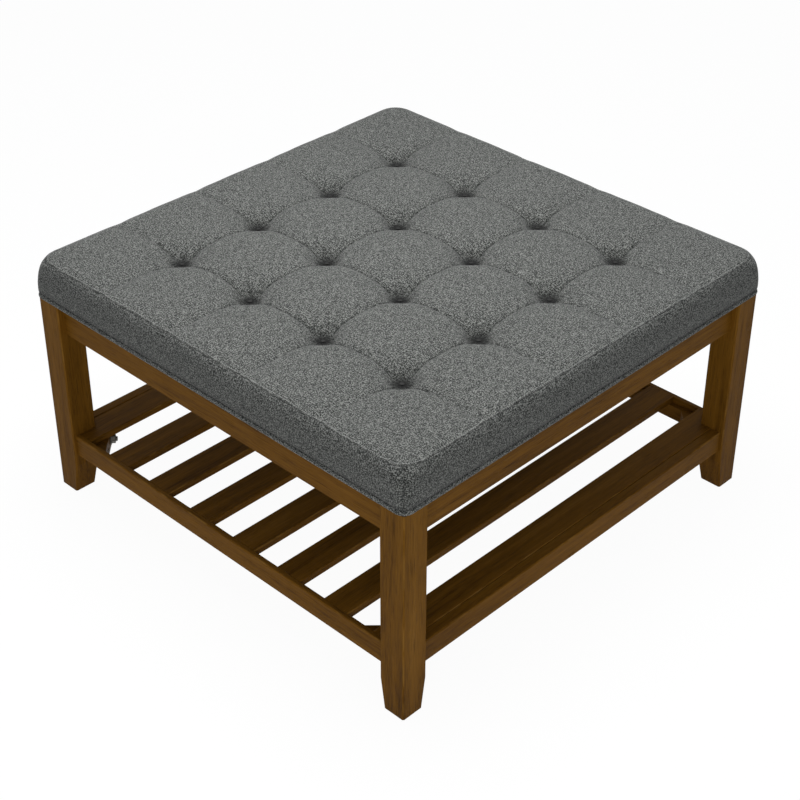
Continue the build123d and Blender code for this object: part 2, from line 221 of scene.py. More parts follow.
def tweed():
    """Heathered grey tweed: flecked yarns of three greys in a plain weave, with painted shade mixed
    into its colour in its folds and pits.
    """
    s = Shader("heathered_tweed")
    u, v, _ = s.parts_of(s.cloth_place())

    def yarns(x, y, layer):
        return s.noise(s.joined(x, y, layer), yarn_scale, detail=1.0, roughness=0.4)

    def slubs(x, y, layer):
        return s.noise(s.joined(x, y, layer), slub_scale, detail=1.0)

    warp_wave, weft_wave = ((run * (pi / thread_pitch)).sin() for run in (u, v))
    over = warp_wave * weft_wave * 0.5 + 0.5
    warp = yarns(u, v * yarn_stretch, warp_layer)
    weft = yarns(u * yarn_stretch, v, weft_layer)
    fleck = warp * over + weft * (1 - over)
    cloud = s.noise(s.joined(u, v, cloud_layer), cloud_scale)
    warp_slub = slubs(u, v * slub_stretch, warp_slub_layer)
    weft_slub = slubs(u * slub_stretch, v, weft_slub_layer)
    slub = warp_slub + weft_slub - 1.0
    tone = (fleck - 0.5) * fleck_gain + slub * slub_gain + tweed_tone + (cloud - 0.5) * cloud_gain
    base = s.mix(tone.ramp(*dark_to_middle), tweed_dark, tweed_middle)
    base = s.mix(tone.ramp(*middle_to_light), base, tweed_light)
    # Painted shade from the point attribute, darkening the cloth in its folds and pits
    base = s.mix(s.attribute("fold_and_painted_shade") * painted_shade_strength, base, painted_shade_colour)
    relief = abs(warp_wave) * abs(weft_wave) * yarn_relief_share + fleck * fleck_relief_share
    return s.finish(
        Base_Color=base, Roughness=0.95, Sheen_Weight=0.15, Sheen_Roughness=0.5,
        Specular_IOR_Level=0.1, Normal=s.bump(relief, weave_relief),
    )


def seam_thread():
    s = Shader("seam_thread")
    x, y, z = s.parts_of(s.place())
    twist = ((x + y + z) * thread_twist).sin() * 0.5 + 0.5
    base = s.mix(twist, colour(0.30, 0.31, 0.30), colour(0.46, 0.47, 0.45))
    return s.finish(Base_Color=base, Roughness=0.8, Normal=s.bump(twist, distance=0.0001))


# Wood

stain_dark = colour(0.052, 0.020, 0.0020)
stain_middle = colour(0.182, 0.079, 0.0085)
stain_light = colour(0.276, 0.130, 0.020)
stain_worn, wear_strength = colour(0.36, 0.19, 0.045), 0.6
pore_colour, pore_strength, pore_edge = colour(0.022, 0.009, 0.002), 0.55, (0.60, 0.72)
dark_to_middle_stain, middle_to_light_stain = (0.05, 0.60), (0.50, 1.05)
wear_start, wear_reach = 0.0002, 0.0026
wear_patch_scale, wear_patch_edge = 22.0, (0.46, 0.66)
growth_weight, fibre_weight, patch_weight = 0.9, 0.8, 0.6
grain_bend = 0.035
wood_roughness, fibre_roughness, pore_roughness = 0.50, 0.25, 0.2
wood_specular = 0.04
wood_relief, fibre_relief_share, pore_relief_share = 0.00018, 0.5, 0.7


def rail_arrises(names, across):
    """The long arrises of rails or slats: for each, its distance from the middle and its height."""
    found = set()
    for name in names:
        low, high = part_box(name)
        for side in (getattr(low, across), getattr(high, across)):
            for level in (low.z, high.z):
                found.add(((across, round(abs(side), 5)), ("z", round(level, 5))))
    return sorted(found)


def leg_arrises():
    """The upright arrises of the legs, but for the inmost one."""
    low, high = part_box("leg_back_right")
    corners = ((high.x, high.y), (high.x, low.y), (low.x, high.y))
    return [(("x", x), ("y", y)) for x, y in corners]


def wear(s, parts, arrises):
    """1 on the arrises where the stain has rubbed thin, in patches."""
    nearest = None
    for (first_axis, first), (second_axis, second) in arrises:
        away = abs(abs(parts[first_axis]) - first).most(abs(abs(parts[second_axis]) - second))
        nearest = away if nearest is None else nearest.least(away)
    patches = s.noise(s.joined(*parts.values()), wear_patch_scale).ramp(*wear_patch_edge)
    return (1 - nearest.ramp(wear_start, wear_reach)) * patches


def stained_wood(name, along, seed, arrises):
    """Walnut-stained hardwood with its grain along one axis; each seed is another tree's grain."""
    s = Shader(name)
    parts = dict(zip("xyz", s.parts_of(s.place())))
    run = parts[along]
    across, depth = (part for axis, part in parts.items() if axis != along)

    def grain(stretch, scale, detail, roughness=0.55, shift=None):
        sideways = across if shift is None else across + shift
        return s.noise(s.joined(run * stretch + seed, sideways, depth), scale, detail, roughness)

    bend = grain(stretch=0.35, scale=9.0, detail=2.0)
    growth = grain(stretch=0.03, scale=60.0, detail=3.0, roughness=0.6, shift=bend * grain_bend)
    fibre = grain(stretch=0.045, scale=620.0, detail=3.0, roughness=0.65)
    pores = grain(stretch=0.02, scale=1500.0, detail=1.0).ramp(*pore_edge)
    patch = grain(stretch=0.4, scale=7.0, detail=2.0)
    tone = (growth - 0.5) * growth_weight + (fibre - 0.5) * fibre_weight
    tone = tone + (patch - 0.5) * patch_weight + 0.5
    base = s.mix(tone.ramp(*dark_to_middle_stain), stain_dark, stain_middle)
    base = s.mix(tone.ramp(*middle_to_light_stain), base, stain_light)
    base = s.mix(pores * pore_strength, base, pore_colour)
    base = s.mix(wear(s, parts, arrises) * wear_strength, base, stain_worn)
    rough = wood_roughness + (fibre - 0.5) * fibre_roughness + pores * pore_roughness
    relief = fibre * fibre_relief_share - pores * pore_relief_share
    return s.finish(
        Base_Color=base, Roughness=rough, Specular_IOR_Level=wood_specular,
        Normal=s.bump(relief, wood_relief),
    )


# Other finishes

twine_turn, twine_climb = 2500.0, 4200.0


def fastener_steel():
    """Zinc plate with its colour darkened as painted shade, clouded and finely scratched."""
    s = Shader("zinc_plate")
    place = s.place()
    cloud = s.noise(place, scale=160.0)
    scratch = s.noise(s.scaled(place, (1.0, 1.0, 0.2)), scale=2600.0, detail=2.0)
    base = s.mix(cloud.ramp(0.3, 0.7), colour(0.10, 0.095, 0.08), colour(0.20, 0.19, 0.17))
    return s.finish(
        Base_Color=base, Metallic=0.9, Roughness=0.42 + cloud * 0.25,
        Normal=s.bump(scratch, distance=0.00006),
    )


def recess_shadow():
    """Painted shadow for a screw's recess: a near-black colour, finely mottled, where the recess
    lies in shade.
    """
    s = Shader("recess_shadow")
    shadow_mottle = s.noise(s.place(), scale=1800.0, detail=2.0)
    base = s.mix(shadow_mottle, colour(0.006, 0.006, 0.006), colour(0.020, 0.019, 0.017))
    return s.finish(Base_Color=base, Roughness=0.8, Normal=s.bump(shadow_mottle, distance=0.00004))


def bare_beech():
    s = Shader("bare_beech")
    fleck = s.noise(s.place(), scale=900.0)
    base = s.mix(fleck.ramp(0.3, 0.7), colour(0.42, 0.28, 0.15), colour(0.60, 0.44, 0.27))
    return s.finish(
        Base_Color=base, Roughness=0.6 + fleck * 0.2, Normal=s.bump(fleck, distance=0.0001)
    )


def plywood(low, high, layers):
    """Faces with a rotary-cut figure and edges that show the plies."""
    s = Shader("birch_plywood")
    x, y, z = s.parts_of(s.place())
    figure = s.noise(s.joined(x * 0.12, y, z), scale=45.0, roughness=0.6, distortion=0.8)
    face = s.mix(figure.ramp(0.3, 0.7), colour(0.44, 0.31, 0.17), colour(0.62, 0.48, 0.30))
    ply = ((z - low) * (pi * layers / (high - low))).sin()
    base = s.mix(ply.ramp(-0.2, 0.2), colour(0.30, 0.19, 0.09), face)
    return s.finish(
        Base_Color=base, Roughness=0.62 + figure * 0.2, Normal=s.bump(figure, distance=0.0002)
    )


def open_foam():
    s = Shader("cut_foam")
    cells = s.cells(s.place(), scale=700.0)
    base = s.mix(cells.ramp(0.1, 0.6), colour(0.42, 0.36, 0.20), colour(0.80, 0.74, 0.52))
    return s.finish(Base_Color=base, Roughness=0.95, Normal=s.bump(cells, distance=0.0005))


def lining():
    """Thin black bonded cloth, finely dimpled."""
    s = Shader("black_lining")
    place = s.place()
    fibre = s.noise(s.scaled(place, (1.0, 0.3, 1.0)), scale=1400.0, roughness=0.7)
    dimple = s.cells(place, scale=450.0)
    base = s.mix(fibre.ramp(0.35, 0.75), colour(0.012, 0.012, 0.013), colour(0.045, 0.045, 0.047))
    relief = dimple * 0.6 + fibre * 0.4
    return s.finish(Base_Color=base, Roughness=0.85, Normal=s.bump(relief, distance=0.0002))


def twine():
    s = Shader("waxed_twine")
    x, y, z = s.parts_of(s.place())
    lay = ((x + y) * twine_turn + z * twine_climb).sin() * 0.5 + 0.5
    # The twine's own dark colour, darkened further to near-black as painted shade for its heads
    # deep in the tuft pits
    base = s.mix(lay, colour(0.005, 0.005, 0.005), colour(0.016, 0.016, 0.015))
    return s.finish(Base_Color=base, Roughness=0.7, Normal=s.bump(lay, distance=0.0002))


def washer_plastic():
    s = Shader("washer_plastic")
    grain = s.noise(s.place(), scale=1200.0, detail=2.0)
    base = s.mix(grain, colour(0.014, 0.014, 0.014), colour(0.030, 0.030, 0.030))
    return s.finish(
        Base_Color=base, Roughness=0.45 + grain * 0.15, Normal=s.bump(grain, distance=0.00005)
    )


def paint(names, material):
    for name in names:
        nodes[name].data.materials.clear()
        nodes[name].data.materials.append(material)


def names_with(*starts):
    return [name for name in sorted(nodes) if name.startswith(starts)]


def paint_frame():
    """The finishes of the solids that stay as they are."""
    crossing = ["apron_front", "apron_back", "stretcher_front", "stretcher_back"]
    running = ["apron_left", "apron_right", "stretcher_left", "stretcher_right"]
    slats = names_with("shelf_slat_")
    blocks = names_with("upper_block_", "lower_block_")
    woods = [
        (names_with("leg_"), "stained_wood_upright", "z", 0.0, leg_arrises()),
        (crossing + blocks, "stained_wood_crosswise", "x", 2.0, rail_arrises(crossing, "y")),
        (running, "stained_wood_lengthwise", "y", 5.0, rail_arrises(running, "x")),
        (slats, "stained_wood_slats", "y", 5.0, rail_arrises(slats, "x")),
    ]
    for pieces, name, along, seed, arrises in woods:
        paint(pieces, stained_wood(name, along, seed, arrises))
    paint(["apron_dowels", "stretcher_dowels"], bare_beech())
    bolts = ["hanger_bolts", "bolt_washers", "bolt_nuts"]
    screws = ["block_screws", "seat_screws", "slat_screws"]
    paint(bolts + screws + ["dust_cover_staples"], fastener_steel())
    paint(["seat_board"], plywood(board_low.z, board_high.z, layers=7))
    paint(["tuft_cords"], twine())
    paint(["tuft_washers"], washer_plastic())


# Meshes

def in_scene(name, data):
    made = bpy.data.objects.new(name, data)
    bpy.context.scene.collection.objects.link(made)
    return made


def finished(name, mesh, shade_smooth):
    """The object of a finished mesh, linked into the scene."""
    mesh.polygons.foreach_set("use_smooth", [shade_smooth] * len(mesh.polygons))
    made = in_scene(name, mesh)
    return made


def piece(name, points, faces, material, shade_smooth=True):
    """A new object from arrays of points and faces."""
    mesh = bpy.data.meshes.new(name)
    mesh.from_pydata([tuple(p) for p in points], [], [tuple(f) for f in faces])
    mesh.validate()
    mesh.materials.append(material)
    return finished(name, mesh, shade_smooth)


def grid_faces(rows, columns, wrap=False):
    """The quads of a grid of points, row by row; wrap joins each row's end to its start."""
    faces = []
    for row in range(rows - 1):
        this, after = row * columns, (row + 1) * columns
        for column in range(columns if wrap else columns - 1):
            near = (column + 1) % columns
            faces.append((this + column, this + near, after + near, after + column))
    return faces


def tube_faces(rows, columns):
    """The quads of a closed tube: each row's end meets its start and the last row the first."""
    return [tuple(index % (rows * columns) for index in face)
            for face in grid_faces(rows + 1, columns, wrap=True)]


def rim_indices(count, inset=0):
    """One square ring of a square grid's points, in order: the outer ring, or one further in."""
    low, high = inset, count - 1 - inset
    bottom = [low * count + column for column in range(low, high + 1)]
    right = [row * count + high for row in range(low + 1, high + 1)]
    back = [high * count + column for column in range(high - 1, low - 1, -1)]
    left = [row * count + low for row in range(high - 1, low, -1)]
    return bottom + right + back + left


def set_cloth_place(made, places):
    """The cloth's own two threads as a UV map, one pair of metres for each corner of each face."""
    layer = made.data.uv_layers.new(name="cloth")
    layer.data.foreach_set("uv", np.asarray(places, np.float32).ravel())


def set_painted_shade(made, painted_shades):
    """The painted shade at each point, 0 in the open to 1 at the darkest, that darkens the cloth in
    its seams, creases and tuft pits and on the boxing's sides.
    """
    fold_and_painted_shade = made.data.attributes.new("fold_and_painted_shade", "FLOAT", "POINT")
    fold_and_painted_shade.data.foreach_set("value", np.asarray(painted_shades, np.float32))


# Shapes of the seat

seam_height, seam_inset = 0.428, 0.0085
panel_base_gap, head_press = 0.0005, 0.0002
panel_base = panel_low.z + panel_base_gap
panel_corner_radius = 0.034
crown_rise, crown_power = 0.0036, 4
crease_dip, edge_crease_dip = 0.0034, 0.0040
shoulder_dip, shoulder_reach = 0.0038, 0.024
pit_shoulder_gain, pit_shoulder_reach = 1.2, 0.034
crease_fold_depth, crease_fold_width, crease_fold_fade = 0.0014, 0.0016, 0.018
pit_floor = cords_high.z - cord_head_height - head_press
pit_drop, pit_widening, pit_floor_blend = 0.050, 0.0122, 0.003
pucker_count, pucker_depth, pucker_twist = 12, 0.0007, 40
pucker_middle, pucker_reach = 0.013, 0.008
pit_influence = 0.060
edge_roll_depth, edge_roll_reach = 0.0046, 0.018
side_draw, draw_fade_power = 0.0020, 8
crease_end_draw, crease_end_reach = 0.0020, 0.014

# Painted shade of the cloth's folds, pits and hidden underside: 0 in the open, 1 at the darkest
crease_shade, far_crease_share = 0.6, 0.25
pit_shade, pit_shade_reach, pit_shade_power = 0.86, 0.0172, 3.6
pit_halo, pit_halo_reach = 0.15, 0.026
underside_shade = 0.3

# The panel's grid
cell_steps, crease_crowding = 32, 0.76


def crowded_steps(half):
    """Places from edge to edge, close together at the creases and wide apart on the puffs."""
    marks = [-half, *creases, half]
    t = np.arange(1, cell_steps + 1) / cell_steps
    eased = t - crease_crowding * np.sin(2 * pi * t) / (2 * pi)
    cells = [low + (high - low) * eased for low, high in zip(marks, marks[1:])]
    return np.concatenate([[-half], *cells])


def crease_offset(values):
    """The signed distance from the nearest crease."""
    return values - creases[np.abs(values[..., None] - creases).argmin(-1)]


def crease_gap(values):
    """The distance from the nearest crease."""
    return np.abs(crease_offset(values))


def puff_reach(values):
    """From a crease to the middle of an inner puff, or to the far side of an outer one."""
    return np.where(np.abs(values) > creases[-1], seat_half - creases[-1], tuft_pitch / 2)


def rounded(x, y, half, radius):
    """A square grid with its corners pulled in to a corner radius."""
    inner = half - radius
    over_x, over_y = np.maximum(np.abs(x) - inner, 0), np.maximum(np.abs(y) - inner, 0)
    longest, slant = np.maximum(over_x, over_y), np.hypot(over_x, over_y)
    share = np.where((over_x > 0) & (over_y > 0), longest / np.maximum(slant, 1e-9), 1.0)
    new_x = np.sign(x) * (np.minimum(np.abs(x), inner) + over_x * share)
    new_y = np.sign(y) * (np.minimum(np.abs(y), inner) + over_y * share)
    return new_x, new_y


def panel_surface(x, y):
    """The tufted panel's height at each point, and the painted shade of its folds and pits there.
    """
    across, along = np.abs(x) / seat_half, np.abs(y) / seat_half
    fullness = (1 - across ** crown_power) * (1 - along ** crown_power)
    height = seam_height + edge_roll_depth + crown_rise * fullness
    gap_x, gap_y = crease_gap(x), crease_gap(y)
    from_pit = np.hypot(gap_x, gap_y)

    # The puffs: a wide dip into each crease and a round shoulder beside it
    dip = edge_crease_dip + (crease_dip - edge_crease_dip) * np.clip(fullness, 0, 1)
    for gap, reach, onward in ((gap_x, puff_reach(x), gap_y), (gap_y, puff_reach(y), gap_x)):
        height = height - dip * np.clip(1 - gap / reach, 0, 1) ** 2
        near_pit = np.exp(-(onward / pit_shoulder_reach) ** 2)
        short = np.clip(1 - gap / shoulder_reach, 0, 1)
        round_shoulder = 1 - np.sqrt(1 - short ** 2)
        height = height - shoulder_dip * (1 + pit_shoulder_gain * near_pit) * round_shoulder

    # The fold at the bottom of each crease, which runs out towards the edge
    from_edge = seat_half - seam_inset - np.maximum(np.abs(x), np.abs(y))
    fold_and_painted_shade = np.exp(-(np.minimum(gap_x, gap_y) / crease_fold_width))
    fold_and_painted_shade = fold_and_painted_shade * np.clip(from_edge / crease_fold_fade, 0, 1)
    height = height - crease_fold_depth * fold_and_painted_shade

    # The pits: trumpets down to the cords' heads, with puckers round them
    sunk = height - pit_floor - pit_drop * np.exp(-from_pit / pit_widening)
    height = pit_floor + (sunk + np.hypot(sunk, pit_floor_blend)) / 2
    turn = np.arctan2(crease_offset(y), crease_offset(x))
    pucker = np.sin(pucker_count * turn + pucker_twist * (x + y))
    pucker = pucker * np.exp(-((from_pit - pucker_middle) / pucker_reach) ** 2)
    height = np.maximum(height + pucker_depth * pucker, pit_floor)

    # The roll down to the seam
    to_seam = np.clip(1 - from_edge / edge_roll_reach, 0, 1) ** 2
    rolled = np.maximum(height - edge_roll_depth * to_seam, seam_height)
    height = np.where(from_pit < pit_influence, height, rolled)

    # Painted shade: darkening along the creases, strongest near the pits, and a dark core and halo
    # round each pit
    near_share = np.exp(-(from_pit / pit_influence) ** 2)
    in_crease = crease_shade * fold_and_painted_shade * (far_crease_share + (1 - far_crease_share) * near_share)
    in_pit = pit_shade * np.exp(-(from_pit / pit_shade_reach) ** pit_shade_power)
    round_pit = pit_halo * np.exp(-from_pit / pit_halo_reach)
    return height, np.maximum(in_crease, in_pit + round_pit)


def rim_draw(along):
    """How far the seam draws in at a place along its side: most at the middle and the creases."""
    bow = side_draw * np.clip(1 - (along / seat_half) ** 2, 0, 1)
    return bow + crease_end_draw * np.exp(-(crease_gap(along) / crease_end_reach) ** 2)


def lengths_from_puffs(grid, steps):
    """Along each row, the length over the surface from its puff's middle to both ends of a face."""
    hops = np.linalg.norm(np.diff(grid, axis=1), axis=2)
    runs = np.concatenate([np.zeros((len(grid), 1)), np.cumsum(hops, axis=1)], axis=1)
    first = np.arange(len(steps) - 1)
    middle = first // cell_steps * cell_steps + cell_steps // 2
    start = steps[middle] - runs[:, middle]
    return start + runs[:, first], start + runs[:, first + 1]


def top_cloth_places(grid, steps):
    """A pair of cloth lengths for each corner of each face of the top."""
    left, right = lengths_from_puffs(grid, steps)
    low, high = (side.T for side in lengths_from_puffs(grid.transpose(1, 0, 2), steps))
    corners = [
        (left[:-1], low[:, :-1]), (right[:-1], low[:, 1:]),
        (right[1:], high[:, 1:]), (left[1:], high[:, :-1]),
    ]
    return np.stack([np.stack(pair, -1) for pair in corners], 2).reshape(-1, 2)


# Rings under the panel's rim, each with its inset and height
panel_underside = [(0.0015, seam_height - 0.0030), (0.0020, panel_base)]


def tufted_panel(cloth):
    """The sewn top panel over its padding, one closed form, and its top's grid of points."""
    # The top, its corners rounded and its rim drawn in
    half = seat_half - seam_inset
    steps = crowded_steps(half)
    count = len(steps)
    x, y = np.meshgrid(steps, steps)
    height, shade = panel_surface(x, y)
    x, y = rounded(x, y, half, panel_corner_radius)
    drawn_x = x - np.sign(x) * rim_draw(y) * (np.abs(x) / half) ** draw_fade_power
    drawn_y = y - np.sign(y) * rim_draw(x) * (np.abs(y) / half) ** draw_fade_power
    top = np.stack([drawn_x, drawn_y, height], -1).reshape(-1, 3)
    faces = grid_faces(count, count)

    # Below the rim, rings down to the base, closed in its middle
    rim = np.array(rim_indices(count))
    rings, loop, total = [top], rim, len(top)
    for inset, level in panel_underside:
        ring = top[rim]
        ring[:, :2] *= 1 - inset / half
        ring[:, 2] = level
        rings.append(ring)
        under = total + np.arange(len(rim))
        faces += zip(loop, under, np.roll(under, -1), np.roll(loop, -1))
        loop, total = under, total + len(rim)
    points = np.concatenate(rings + [[[0.0, 0.0, panel_base]]])
    faces += [(near, here, total) for here, near in zip(loop, np.roll(loop, -1))]
    made = piece("tufted_panel", points, faces, cloth)

    # The cloth follows the top; below the rim it isn't seen
    grid = top.reshape(count, count, 3)
    hidden_corners = [index for face in faces[(count - 1) ** 2:] for index in face]
    hidden_places = points[hidden_corners, :2]
    set_cloth_place(made, np.concatenate([top_cloth_places(grid, steps), hidden_places]))
    hidden_shade = np.full(len(points) - len(top), underside_shade)
    set_painted_shade(made, np.concatenate([shade.ravel(), hidden_shade]))
    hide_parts("tufted_top")
    return made, grid


# Growing: pieces that Geometry Nodes lay out

class Grower:
    """A Geometry Nodes tree that lays copies of a shape on a guide, and the mesh it makes."""

    def __init__(self, name, sizes):
        self.name, self.sizes = name, sizes
        self.tree = bpy.data.node_groups.new(name, "GeometryNodeTree")
        self.tree.interface.new_socket("Guide", in_out="INPUT", socket_type="NodeSocketGeometry")
        for label in sizes:
            self.tree.interface.new_socket(label, in_out="INPUT", socket_type="NodeSocketFloat")
        self.tree.interface.new_socket("Laid", in_out="OUTPUT", socket_type="NodeSocketGeometry")
        self.given = self.node("NodeGroupInput")

    def node(self, kind, settings=None, inputs=None):
        """A new node's outputs; an input takes a value, a link or a list of links."""
        made = self.tree.nodes.new(kind)
        for label, setting in (settings or {}).items():
            setattr(made, label, setting)
        for label, given in (inputs or {}).items():
            for value in given if isinstance(given, list) else [given]:
                if isinstance(value, bpy.types.NodeSocket):
                    self.tree.links.new(value, made.inputs[label])
                else:
                    made.inputs[label].default_value = value
        return made.outputs

    def size(self, x, y, z):
        """A vector of three of the named sizes."""
        inputs = {"X": self.given[x], "Y": self.given[y], "Z": self.given[z]}
        return self.node("ShaderNodeCombineXYZ", None, inputs)["Vector"]

    def laid(self, points, shape, material, **placing):
        """Copies of the shape on the points, made real and painted."""
        inputs = {"Points": points, "Instance": shape, **placing}
        copies = self.node("GeometryNodeInstanceOnPoints", None, inputs)
        real = self.node("GeometryNodeRealizeInstances", None, {"Geometry": copies["Instances"]})
        inputs = {"Geometry": real["Geometry"], "Material": material}
        painted = self.node("GeometryNodeSetMaterial", None, inputs)
        self.node("NodeGroupOutput", None, {"Laid": painted["Geometry"]})

    def piece(self, points, edges, slot_name, shade_smooth):
        """The plain mesh that the tree makes of a guide of points and edges."""
        guide_mesh = bpy.data.meshes.new(self.name + "_guide")
        guide_mesh.from_pydata([tuple(p) for p in points], edges, [])
        guide = in_scene(self.name + "_guide", guide_mesh)
        modifier = guide.modifiers.new("grow", "NODES")
        modifier.node_group = self.tree
        for socket in self.tree.interface.items_tree:
            if socket.name in self.sizes:
                modifier[socket.identifier] = self.sizes[socket.name]
        depsgraph = bpy.context.evaluated_depsgraph_get()
        grown = guide.evaluated_get(depsgraph)
        mesh = bpy.data.meshes.new_from_object(grown, depsgraph=depsgraph)
        bpy.data.objects.remove(guide)
        return finished(self.name, mesh, shade_smooth)


stitch_pitch, stitch_length, stitch_width = 0.0038, 0.0026, 0.0008
stitch_ring, stitch_lift = 2, 0.0001
recess_reach, recess_width, recess_height = 0.0042, 0.0009, 0.0001
head_face_depth, head_search = 0.0001, 0.006


def topstitching(grid, thread):
    """The row of stitches along the panel's seam, on a ring of the panel's grid."""
    ring = rim_indices(len(grid), stitch_ring)
    line = grid.reshape(-1, 3)[ring] + np.array([0.0, 0.0, stitch_lift])
    grower = Grower("topstitching", {
        "Pitch": stitch_pitch, "Half Length": stitch_length / 2, "Half Width": stitch_width / 2,
    })
    curve = grower.node("GeometryNodeMeshToCurve", None, {"Mesh": grower.given["Guide"]})
    inputs = {"Curve": curve["Curve"], "Length": grower.given["Pitch"]}
    spots = grower.node("GeometryNodeCurveToPoints", {"mode": "LENGTH"}, inputs)
    inputs = {"Segments": 6, "Rings": 4, "Radius": 1.0}
    bead = grower.node("GeometryNodeMeshUVSphere", None, inputs)
    size = grower.size("Half Width", "Half Width", "Half Length")
    grower.laid(spots["Points"], bead["Mesh"], thread, Rotation=spots["Rotation"], Scale=size)
    edges = [(index, (index + 1) % len(line)) for index in range(len(line))]
    return grower.piece(line, edges, "grey_tweed", True)


def head_centres(name):
    """The middles of the heads of upright screws, on their lowest faces."""
    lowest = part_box(name)[0].z
    heads = {}
    for vertex in nodes[name].data.vertices:
        if vertex.co.z < lowest + head_face_depth:
            place = (round(vertex.co.x / head_search), round(vertex.co.y / head_search))
            near = [key for key in heads if abs(key[0] - place[0]) + abs(key[1] - place[1]) <= 2]
            heads.setdefault(near[0] if near else place, []).append(vertex.co)
    return [sum(found, Vector()) / len(found) for found in heads.values()]


def screw_recess_shadows(dark):
    """A thin near-black cross on each upright screw's head, a painted shadow for its cross recess.
    """
    grower = Grower("screw_recess_shadows", {
        "Reach": recess_reach, "Width": recess_width, "Height": recess_height,
    })
    bars = []
    for longer, shorter in (("Reach", "Width"), ("Width", "Reach")):
        inputs = {"Size": grower.size(longer, shorter, "Height")}
        bars.append(grower.node("GeometryNodeMeshCube", None, inputs)["Mesh"])
    cross = grower.node("GeometryNodeJoinGeometry", None, {"Geometry": bars})
    grower.laid(grower.given["Guide"], cross["Geometry"], dark)
    centres = head_centres("slat_screws") + head_centres("seat_screws")
    return grower.piece(centres, [], "zinc_plated_steel", False)


# The seat's sides

side_steps, corner_steps = 96, 20
low_corner_radius, corner_radius_growth = 0.014, 0.021
corner_seam_depth = 0.0008
boxing_draw_power = 4
piping_sides = 14
bias = 0.7071  # the cosine of 45 degrees

# The boxing's section, from the outside of its foot over its top and down the inside: the inset
# and height of each row
boxing_section = [
    (0.0050, 0.3688), (0.0024, 0.3693), (0.0012, 0.3716), (0.0005, 0.3780), (0.0000, 0.3870),
    (0.0000, 0.3960), (0.0004, 0.4050), (0.0014, 0.4130), (0.0030, 0.4190), (0.0050, 0.4235),
    (0.0068, 0.4264), (0.0085, 0.4276), (0.0088, 0.4262), (0.0084, 0.4180), (0.0082, 0.3930),
    (0.0078, 0.3700), (0.0074, 0.3688),
]

# The rows of its foot, of the heel above that, of its face and of its inside, and their painted
# shades
foot_rows, heel_row, face_rows, inside_rows = slice(0, 2), 2, slice(3, 11), slice(11, None)
foot_shade, heel_shade, face_shade, corner_seam_shade, inside_shade = 1.0, 0.5, 0.17, 0.6, 0.5


def ring_outline(half, radius, draw_share=0.0):
    """Points round a rounded square, the length run to each and the length of the whole."""
    inner = half - radius
    side_x = np.linspace(-inner, inner, side_steps, endpoint=False)
    side = np.column_stack([side_x, rim_draw(side_x) * draw_share - half])
    angle = -pi / 2 + pi / 2 * np.arange(corner_steps) / corner_steps
    bend = np.column_stack([inner + radius * np.cos(angle), radius * np.sin(angle) - inner])
    quarter = np.concatenate([side, bend])
    turns = [(1, 0), (0, 1), (-1, 0), (0, -1)]
    points = np.concatenate([quarter @ np.array([[c, s], [-s, c]]) for c, s in turns])
    hops = np.hypot(*(np.roll(points, -1, 0) - points).T)
    return points, np.concatenate([[0], np.cumsum(hops)[:-1]]), hops.sum()


def boxing_cloth_places(faces, lengths, first_seam):
    """A pair of cloth lengths for each corner of each face, from the middle of its own side.

    The last faces of each row join its end to its start, so their lengths run on past a full turn.
    """
    quarter = side_steps + corner_steps
    count = 4 * quarter
    places = []
    for face in faces:
        column = min(index % count for index in face)
        wraps = column == 0 and any(index % count == count - 1 for index in face)
        side = 4 if wraps else (column - first_seam + quarter) // quarter
        for index in face:
            row, place = divmod(index, count)
            run, total = lengths[row]
            ahead = run[place] + (total if wraps and place == 0 else 0.0)
            middle = run[side % 4 * quarter + side_steps // 2] + (total if side == 4 else 0.0)
            places.append((ahead - middle + side % 4, boxing_section[row][1]))
    return places


def boxing(cloth):
    """The strip round the seat, sewn to the panel above and to the piping below."""
    # Each row of the section, rounder at the corners and more drawn in towards the top
    rows, lengths = [], []
    for inset, height in boxing_section:
        share = (height - band_low.z) / (seam_height - band_low.z)
        radius = low_corner_radius + corner_radius_growth * share
        draw_share = max(share, 0) ** boxing_draw_power
        outline, run, total = ring_outline(seat_half - inset, radius, draw_share)
        rows.append(np.column_stack([outline, np.full(len(outline), height)]))
        lengths.append((run, total))

    # The upright seam in the middle of each corner
    quarter = side_steps + corner_steps
    seams = [quarter * turn + side_steps + corner_steps // 2 for turn in range(4)]
    for row in [rows[heel_row]] + rows[face_rows]:
        row[seams, :2] *= 1 - corner_seam_depth / seat_half

    faces = tube_faces(len(rows), 4 * quarter)
    made = piece("boxing", np.concatenate(rows), faces, cloth)
    set_cloth_place(made, boxing_cloth_places(faces, lengths, seams[0]))
    # Painted shade: darkest along the foot by the piping, at the corner seams and inside, with a
    # light darkening over the face for the shade on the seat's sides
    shade = np.full((len(rows), 4 * quarter), face_shade)
    shade[foot_rows] = foot_shade
    shade[heel_row] = heel_shade
    shade[face_rows, seams] = corner_seam_shade
    shade[inside_rows] = inside_shade
    set_painted_shade(made, shade.ravel())
    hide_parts("boxing_band")
    return made


